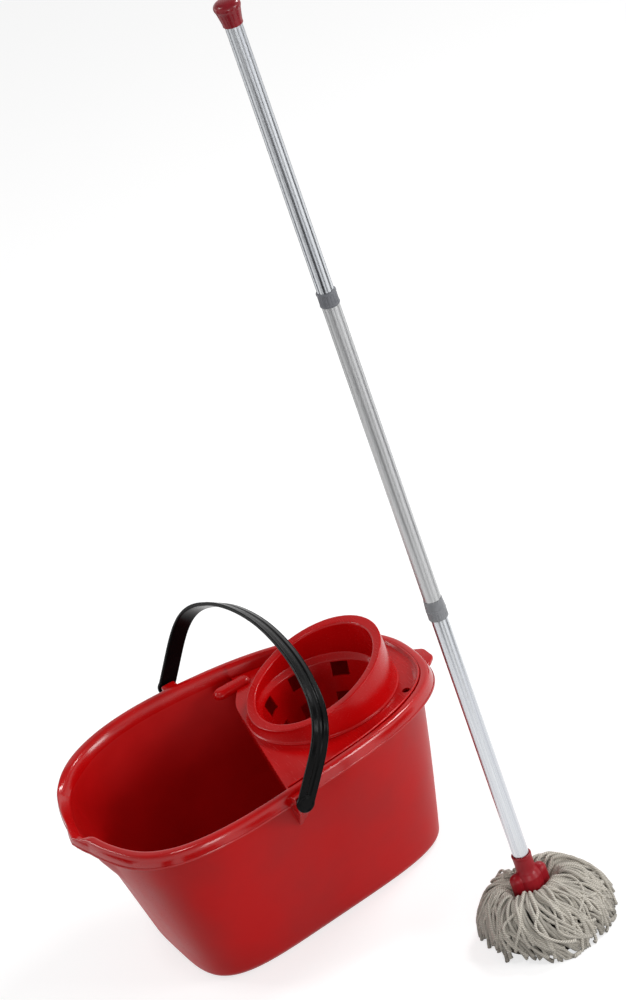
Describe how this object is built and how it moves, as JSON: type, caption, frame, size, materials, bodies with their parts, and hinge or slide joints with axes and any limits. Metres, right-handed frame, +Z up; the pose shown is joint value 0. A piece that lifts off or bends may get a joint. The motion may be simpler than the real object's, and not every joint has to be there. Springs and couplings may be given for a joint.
{
  "type": "mop and bucket with wringer",
  "caption": "Oval pouring bucket with swinging bail, lift-out wringer basket and deck, and a yarn mop on a telescopic handle.",
  "frame": {"origin": "middle of the bucket's flat base, on the floor", "axes": "+X from the spout towards the wringer, +Y away from the mop, +Z up along the mop's handle"},
  "size_m": [0.4572, 0.5513, 1.1355],
  "materials": {
    "bucket_red": "smooth gloss moulding with a satin outer wall",
    "bail_black": "semi-gloss",
    "wringer_red": "gloss",
    "cap_red": "gloss",
    "tube_bright": "polished",
    "tube_grey": "satin metallic paint",
    "collar_dark": "satin",
    "collar_grey": "satin",
    "lock_plastic": "matte",
    "lock_sleeve": "matte",
    "socket_red": "gloss",
    "yarn": "twisted cotton yarn"
  },
  "bodies": {
    "bucket": {"bucket_shell": "bucket_red"},
    "bail": {"bail_handle": "bail_black"},
    "wringer": {"wringer_deck": "wringer_red", "wringer_basket": "wringer_red"},
    "mop_head": {"lower_tube": "tube_bright", "lower_lock_core": "lock_plastic", "lower_lock_sleeve": "lock_sleeve", "thread_plug": "lock_plastic", "mop_socket": "socket_red", "yarn_retainer": "lock_sleeve", "yarn_bundle": "yarn"},
    "handle_middle": {"middle_tube": "tube_grey", "upper_collar": "collar_dark", "lower_collar": "collar_grey"},
    "handle_top": {"upper_tube": "tube_bright", "upper_lock_core": "lock_plastic", "upper_lock_sleeve": "lock_sleeve", "end_cap": "cap_red"}
  },
  "joints": [
    {"name": "bail_swing", "type": "hinge", "parent": "bucket", "child": "bail", "pos_m": [-0.015, 0, 0.207], "axis": [0, 1, 0], "range_deg": [-112, 15]},
    {"name": "wringer_lift", "type": "slide", "parent": "bucket", "child": "wringer", "axis": [0, 0, 1], "range_m": [0, 0.03]},
    {"name": "mop_lift", "type": "slide", "parent": "bucket", "child": "mop_head", "axis": [0, 0, 1], "range_m": [0, 0.25]},
    {"name": "lower_telescope", "type": "slide", "parent": "mop_head", "child": "handle_middle", "axis": [0, 0, -1], "range_m": [0, 0.105]},
    {"name": "upper_telescope", "type": "slide", "parent": "handle_middle", "child": "handle_top", "axis": [0, 0, -1], "range_m": [0, 0.105]}
  ]
}
